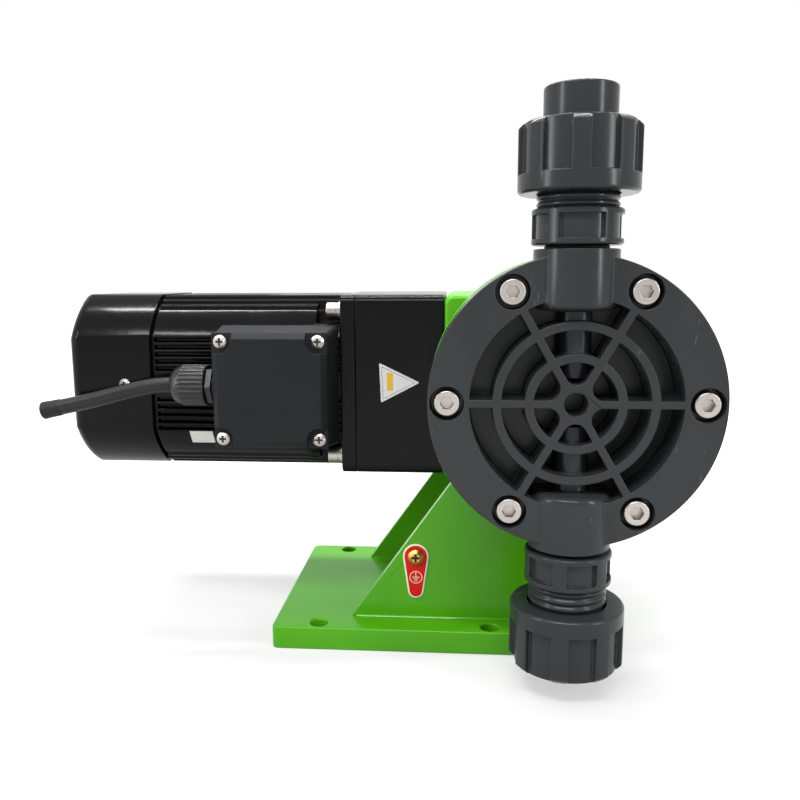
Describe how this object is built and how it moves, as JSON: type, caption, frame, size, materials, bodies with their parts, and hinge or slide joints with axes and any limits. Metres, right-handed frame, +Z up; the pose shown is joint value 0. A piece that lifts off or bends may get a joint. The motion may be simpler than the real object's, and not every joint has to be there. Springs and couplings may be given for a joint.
{
  "type": "diaphragm metering pump",
  "caption": "Motor-driven diaphragm metering pump: ribbed round pump head with union valves above and below, gearbox, finned motor and a welded bracket base.",
  "frame": {"origin": "centre of the base plate's four bolt holes, on its underside", "axes": "+X along the motor shaft towards the pump head, +Y from the pump head to the stroke knob, +Z up"},
  "size_m": [0.3693, 0.2167, 0.3037],
  "materials": {
    "green_paint": "glossy green enamel",
    "black_paint": "gloss black paint",
    "grey_pvc": "moulded dark grey PVC, semi-gloss",
    "box_plastic": "moulded dark grey plastic, satin",
    "black_plastic": "moulded black nylon, satin",
    "stainless": "turned stainless steel",
    "bright_steel": "ground steel",
    "brass": "bright brass",
    "bronze": "sintered bronze",
    "copper": "varnished copper wire",
    "lamination": "stacked electrical steel",
    "rubber": "black rubber",
    "cable_black": "black cable sheath",
    "ptfe": "white PTFE",
    "ceramic": "polished ceramic",
    "earth_label": "printed red label"
  },
  "bodies": {
    "root": {"base_plate": "green_paint", "front_bracket": "green_paint", "rear_bracket": "green_paint", "saddle_plate": "green_paint", "saddle_screws": "stainless", "earth_screw": "brass", "earth_label": "earth_label", "pump_head": "grey_pvc", "head_bolts": "stainless", "discharge_valve_body": "grey_pvc", "suction_valve_body": "grey_pvc", "valve_seats": "ptfe", "valve_o_rings": "rubber", "discharge_union_nut": "grey_pvc", "suction_union_nut": "grey_pvc", "discharge_tailpiece": "grey_pvc", "suction_bush": "grey_pvc", "diaphragm": "ptfe", "guide_bush": "bronze", "return_spring": "bright_steel", "drive_casing": "green_paint", "rear_cover": "green_paint", "cover_screws": "stainless", "spindle_bush": "stainless", "gearbox_body": "black_paint", "motor_flange": "black_paint", "frame_bolts": "stainless", "frame_washers": "stainless", "output_bearings": "bright_steel", "motor_housing": "black_paint", "stator_core": "lamination", "stator_windings": "copper", "motor_bearings": "bright_steel", "rear_shield": "black_paint", "fan_cover": "black_paint", "fan_cover_screws": "stainless", "terminal_box": "box_plastic", "terminal_lid": "box_plastic", "lid_screws": "stainless", "terminal_block": "black_plastic", "gland_body": "black_plastic", "gland_nut": "black_plastic", "motor_lead": "cable_black"},
    "motor_rotor": {"motor_shaft": "bright_steel", "rotor_core": "lamination", "cooling_fan": "black_plastic"},
    "layshaft": {"layshaft": "bright_steel", "layshaft_wheel": "bright_steel"},
    "output": {"output_shaft": "bright_steel", "output_wheel": "bright_steel", "eccentric": "bright_steel", "eccentric_ring": "bright_steel"},
    "pushrod": {"pushrod": "bright_steel", "yoke": "bright_steel", "diaphragm_plate": "stainless"},
    "stop_pad": {"stop_pad": "bronze"},
    "knob": {"stroke_knob": "black_plastic", "stroke_spindle": "bright_steel"},
    "discharge_ball": {"discharge_ball": "ceramic"},
    "suction_ball": {"suction_ball": "ceramic"}
  },
  "joints": [
    {"name": "motor_spin", "type": "hinge", "parent": "root", "child": "motor_rotor", "pos_m": [0, 0, 0.1528], "axis": [1, 0, 0], "continuous": true},
    {"name": "layshaft_spin", "type": "hinge", "parent": "root", "child": "layshaft", "pos_m": [0, 0, 0.1268], "axis": [1, 0, 0], "continuous": true},
    {"name": "output_spin", "type": "hinge", "parent": "root", "child": "output", "pos_m": [0.0882, 0, 0.1528], "axis": [1, 0, 0], "continuous": true},
    {"name": "pushrod_stroke", "type": "slide", "parent": "root", "child": "pushrod", "axis": [0, -1, 0], "range_m": [0, 0.006], "stiffness_N_per_m": 1500, "springref_m": -0.003, "deforming": ["return_spring", "diaphragm"]},
    {"name": "spindle_advance", "type": "slide", "parent": "root", "child": "stop_pad", "axis": [0, 1, 0], "range_m": [0, 0.006]},
    {"name": "knob_turn", "type": "hinge", "parent": "stop_pad", "child": "knob", "pos_m": [0.0882, 0.07, 0.1528], "axis": [0, 1, 0], "range_deg": [0, 900]},
    {"name": "discharge_ball_lift", "type": "slide", "parent": "root", "child": "discharge_ball", "axis": [0, 0, 1], "range_m": [0, 0.003]},
    {"name": "suction_ball_lift", "type": "slide", "parent": "root", "child": "suction_ball", "axis": [0, 0, 1], "range_m": [0, 0.003]}
  ],
  "couplings": [
    {"joint": "layshaft_spin", "follows": "motor_spin", "ratio": -0.3},
    {"joint": "output_spin", "follows": "motor_spin", "ratio": 0.09},
    {"joint": "knob_turn", "follows": "spindle_advance", "rad_per_m": 2618}
  ]
}
